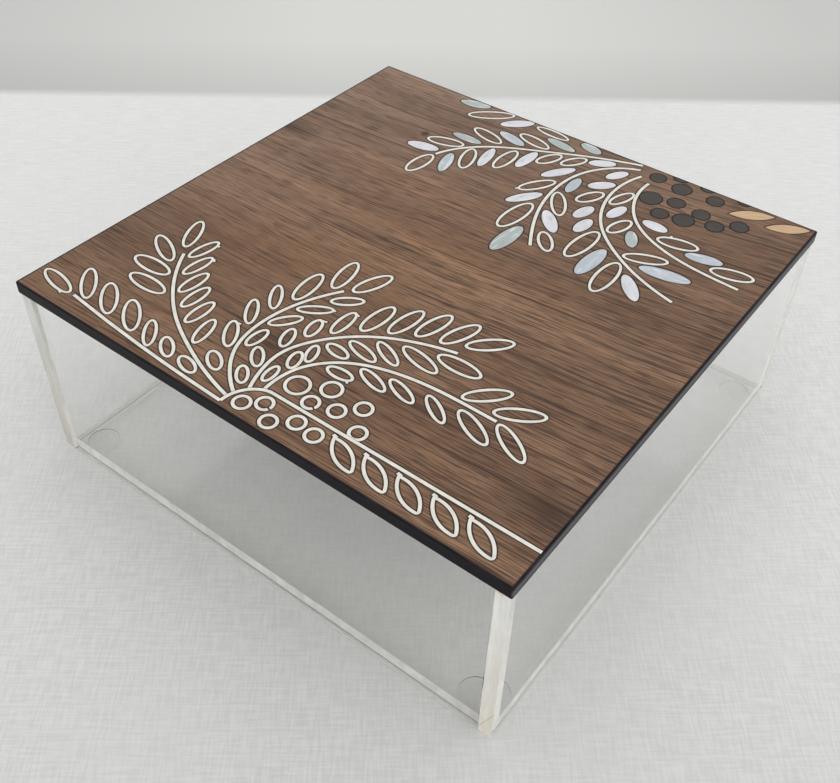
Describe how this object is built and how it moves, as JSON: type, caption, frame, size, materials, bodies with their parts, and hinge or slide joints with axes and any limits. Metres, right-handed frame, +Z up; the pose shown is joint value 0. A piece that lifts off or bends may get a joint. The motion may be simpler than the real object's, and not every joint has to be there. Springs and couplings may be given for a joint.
{
  "type": "lidded display box",
  "caption": "Low square clear acrylic box with a lift-off walnut lid inlaid with leaf and berry sprays.",
  "frame": {"origin": "centre of the footprint, on the ground under the feet", "axes": "+Z up through the lid; -Y is the front, with the row of pointed leaves along its edge, and +X is the right-hand side"},
  "size_m": [0.2, 0.2, 0.0802],
  "materials": {
    "clear_acrylic": "clear polished faces, pale frosted sawn edges",
    "locator_acrylic": "clear polished",
    "clear_bumper": "clear soft bumper",
    "black_board": "matt black dyed fibreboard",
    "charcoal_band": "charcoal painted edge banding, low sheen",
    "walnut": "oiled walnut, straight grain with open pores, satin",
    "bone_strip": "off-white matt strip",
    "shell": "polished mother-of-pearl",
    "ebony": "dark grey-brown wood, satin",
    "maple": "pale golden wood, satin"
  },
  "bodies": {
    "box": {"floor_panel": "clear_acrylic", "foot_back_left": "clear_bumper", "foot_back_right": "clear_bumper", "foot_front_left": "clear_bumper", "foot_front_right": "clear_bumper", "wall_back": "clear_acrylic", "wall_front": "clear_acrylic", "wall_left": "clear_acrylic", "wall_right": "clear_acrylic"},
    "lid": {"lid_band_back": "charcoal_band", "lid_band_front": "charcoal_band", "lid_band_left": "charcoal_band", "lid_band_right": "charcoal_band", "lid_core": "black_board", "lid_locator_back_left": "locator_acrylic", "lid_locator_back_right": "locator_acrylic", "lid_locator_front_left": "locator_acrylic", "lid_locator_front_right": "locator_acrylic", "lid_walnut_top": "walnut", "dark_berries": "ebony", "far_down_rings": "bone_strip", "far_down_shells": "shell", "far_down_stem": "bone_strip", "far_left_rings": "bone_strip", "far_left_shells": "shell", "far_left_stem": "bone_strip", "far_middle_rings": "bone_strip", "far_middle_shells": "shell", "far_middle_stem": "bone_strip", "far_right_rings": "bone_strip", "far_right_shells": "shell", "far_right_stem": "bone_strip", "maple_leaves": "maple", "near_arched_rings": "bone_strip", "near_arched_stem": "bone_strip", "near_left_rings": "bone_strip", "near_left_stem": "bone_strip", "near_low_rings": "bone_strip", "near_low_stem": "bone_strip", "near_open_rings": "bone_strip", "near_pointed_rings": "bone_strip", "near_right_rings": "bone_strip", "near_right_stem": "bone_strip", "near_round_rings": "bone_strip", "near_tall_rings": "bone_strip", "near_tall_stem": "bone_strip"}
  },
  "joints": [
    {"name": "lid_lift", "type": "slide", "parent": "box", "child": "lid", "axis": [0, 0, 1], "range_m": [0, 0.12]}
  ]
}
